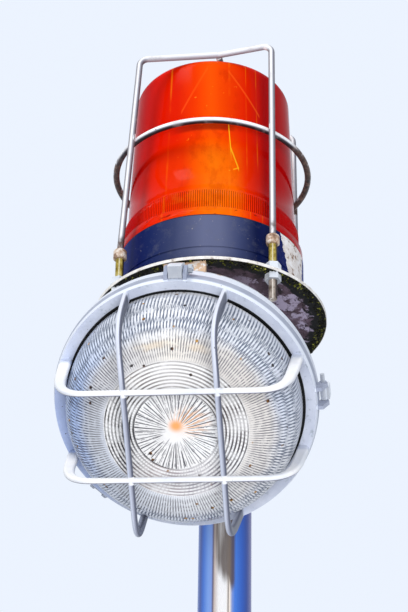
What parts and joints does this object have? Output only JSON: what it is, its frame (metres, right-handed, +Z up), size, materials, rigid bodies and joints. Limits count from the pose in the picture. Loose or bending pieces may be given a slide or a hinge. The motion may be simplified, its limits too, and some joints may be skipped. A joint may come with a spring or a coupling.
{
  "type": "warning light pole",
  "caption": "Stainless post with a rotating red-orange warning beacon in a wire guard and a round caged bulkhead lamp hung below it, looking down.",
  "frame": {"origin": "on the post's axis at the underside of its base flange, where it stands on the ground", "axes": "+Z up along the post; the lamp looks towards -Y and down; +X to the right as seen from in front"},
  "size_m": [0.2364, 0.3874, 2.9358],
  "materials": {
    "stainless": "satin",
    "polished_stainless": "polished",
    "rusty_steel": "rusty, mossy rim",
    "galvanised_steel": "dull zinc",
    "painted_casting": "light grey paint",
    "black_rubber": "matte",
    "white_enamel": "gloss",
    "porcelain": "glazed",
    "bulb_glass": "frosted",
    "pressed_glass": "prismatic",
    "navy_plastic": "dusty",
    "orange_lens": "translucent, ribbed",
    "dark_plastic": "matte",
    "mirror_metal": "bright",
    "guard_wire": "dull zinc, weathered",
    "old_brass": "tarnished"
  },
  "bodies": {
    "mast": {"base_flange": "stainless", "post_tube": "polished_stainless", "top_plate": "rusty_steel", "hanger_strap": "galvanised_steel", "lamp_disc": "galvanised_steel", "strap_bolts": "galvanised_steel", "lamp_housing": "painted_casting", "lamp_gasket": "black_rubber", "lamp_reflector": "white_enamel", "lamp_holder": "porcelain", "lamp_bulb": "bulb_glass", "hinge_pin": "galvanised_steel", "beacon_base": "navy_plastic", "beacon_seal": "black_rubber", "beacon_lens": "orange_lens", "beacon_socket": "porcelain", "beacon_bulb": "bulb_glass", "guard_front_hoop": "guard_wire", "guard_rear_hoop": "guard_wire", "guard_ring": "guard_wire", "guard_top_wire": "guard_wire", "guard_collars": "old_brass", "guard_studs": "old_brass", "guard_washers": "galvanised_steel", "guard_upper_nuts": "galvanised_steel", "guard_lower_nuts": "galvanised_steel"},
    "lamp_cover": {"lamp_frame": "painted_casting", "lamp_glass": "pressed_glass", "glass_seal": "black_rubber", "latch_clips": "galvanised_steel", "latch_bolts": "galvanised_steel", "latch_nuts": "galvanised_steel"},
    "beacon_rotor": {"rotor_turntable": "dark_plastic", "rotor_mirror": "mirror_metal"}
  },
  "joints": [
    {"name": "cover_hinge", "type": "hinge", "parent": "mast", "child": "lamp_cover", "pos_m": [-0.08883, -0.11784, 2.48665], "axis": [0.6561, 0.5988, -0.4594], "range_deg": [0, 110]},
    {"name": "rotor_spin", "type": "hinge", "parent": "mast", "child": "beacon_rotor", "pos_m": [0, -0.08385, 2.7], "axis": [0, 0, 1], "continuous": true}
  ]
}
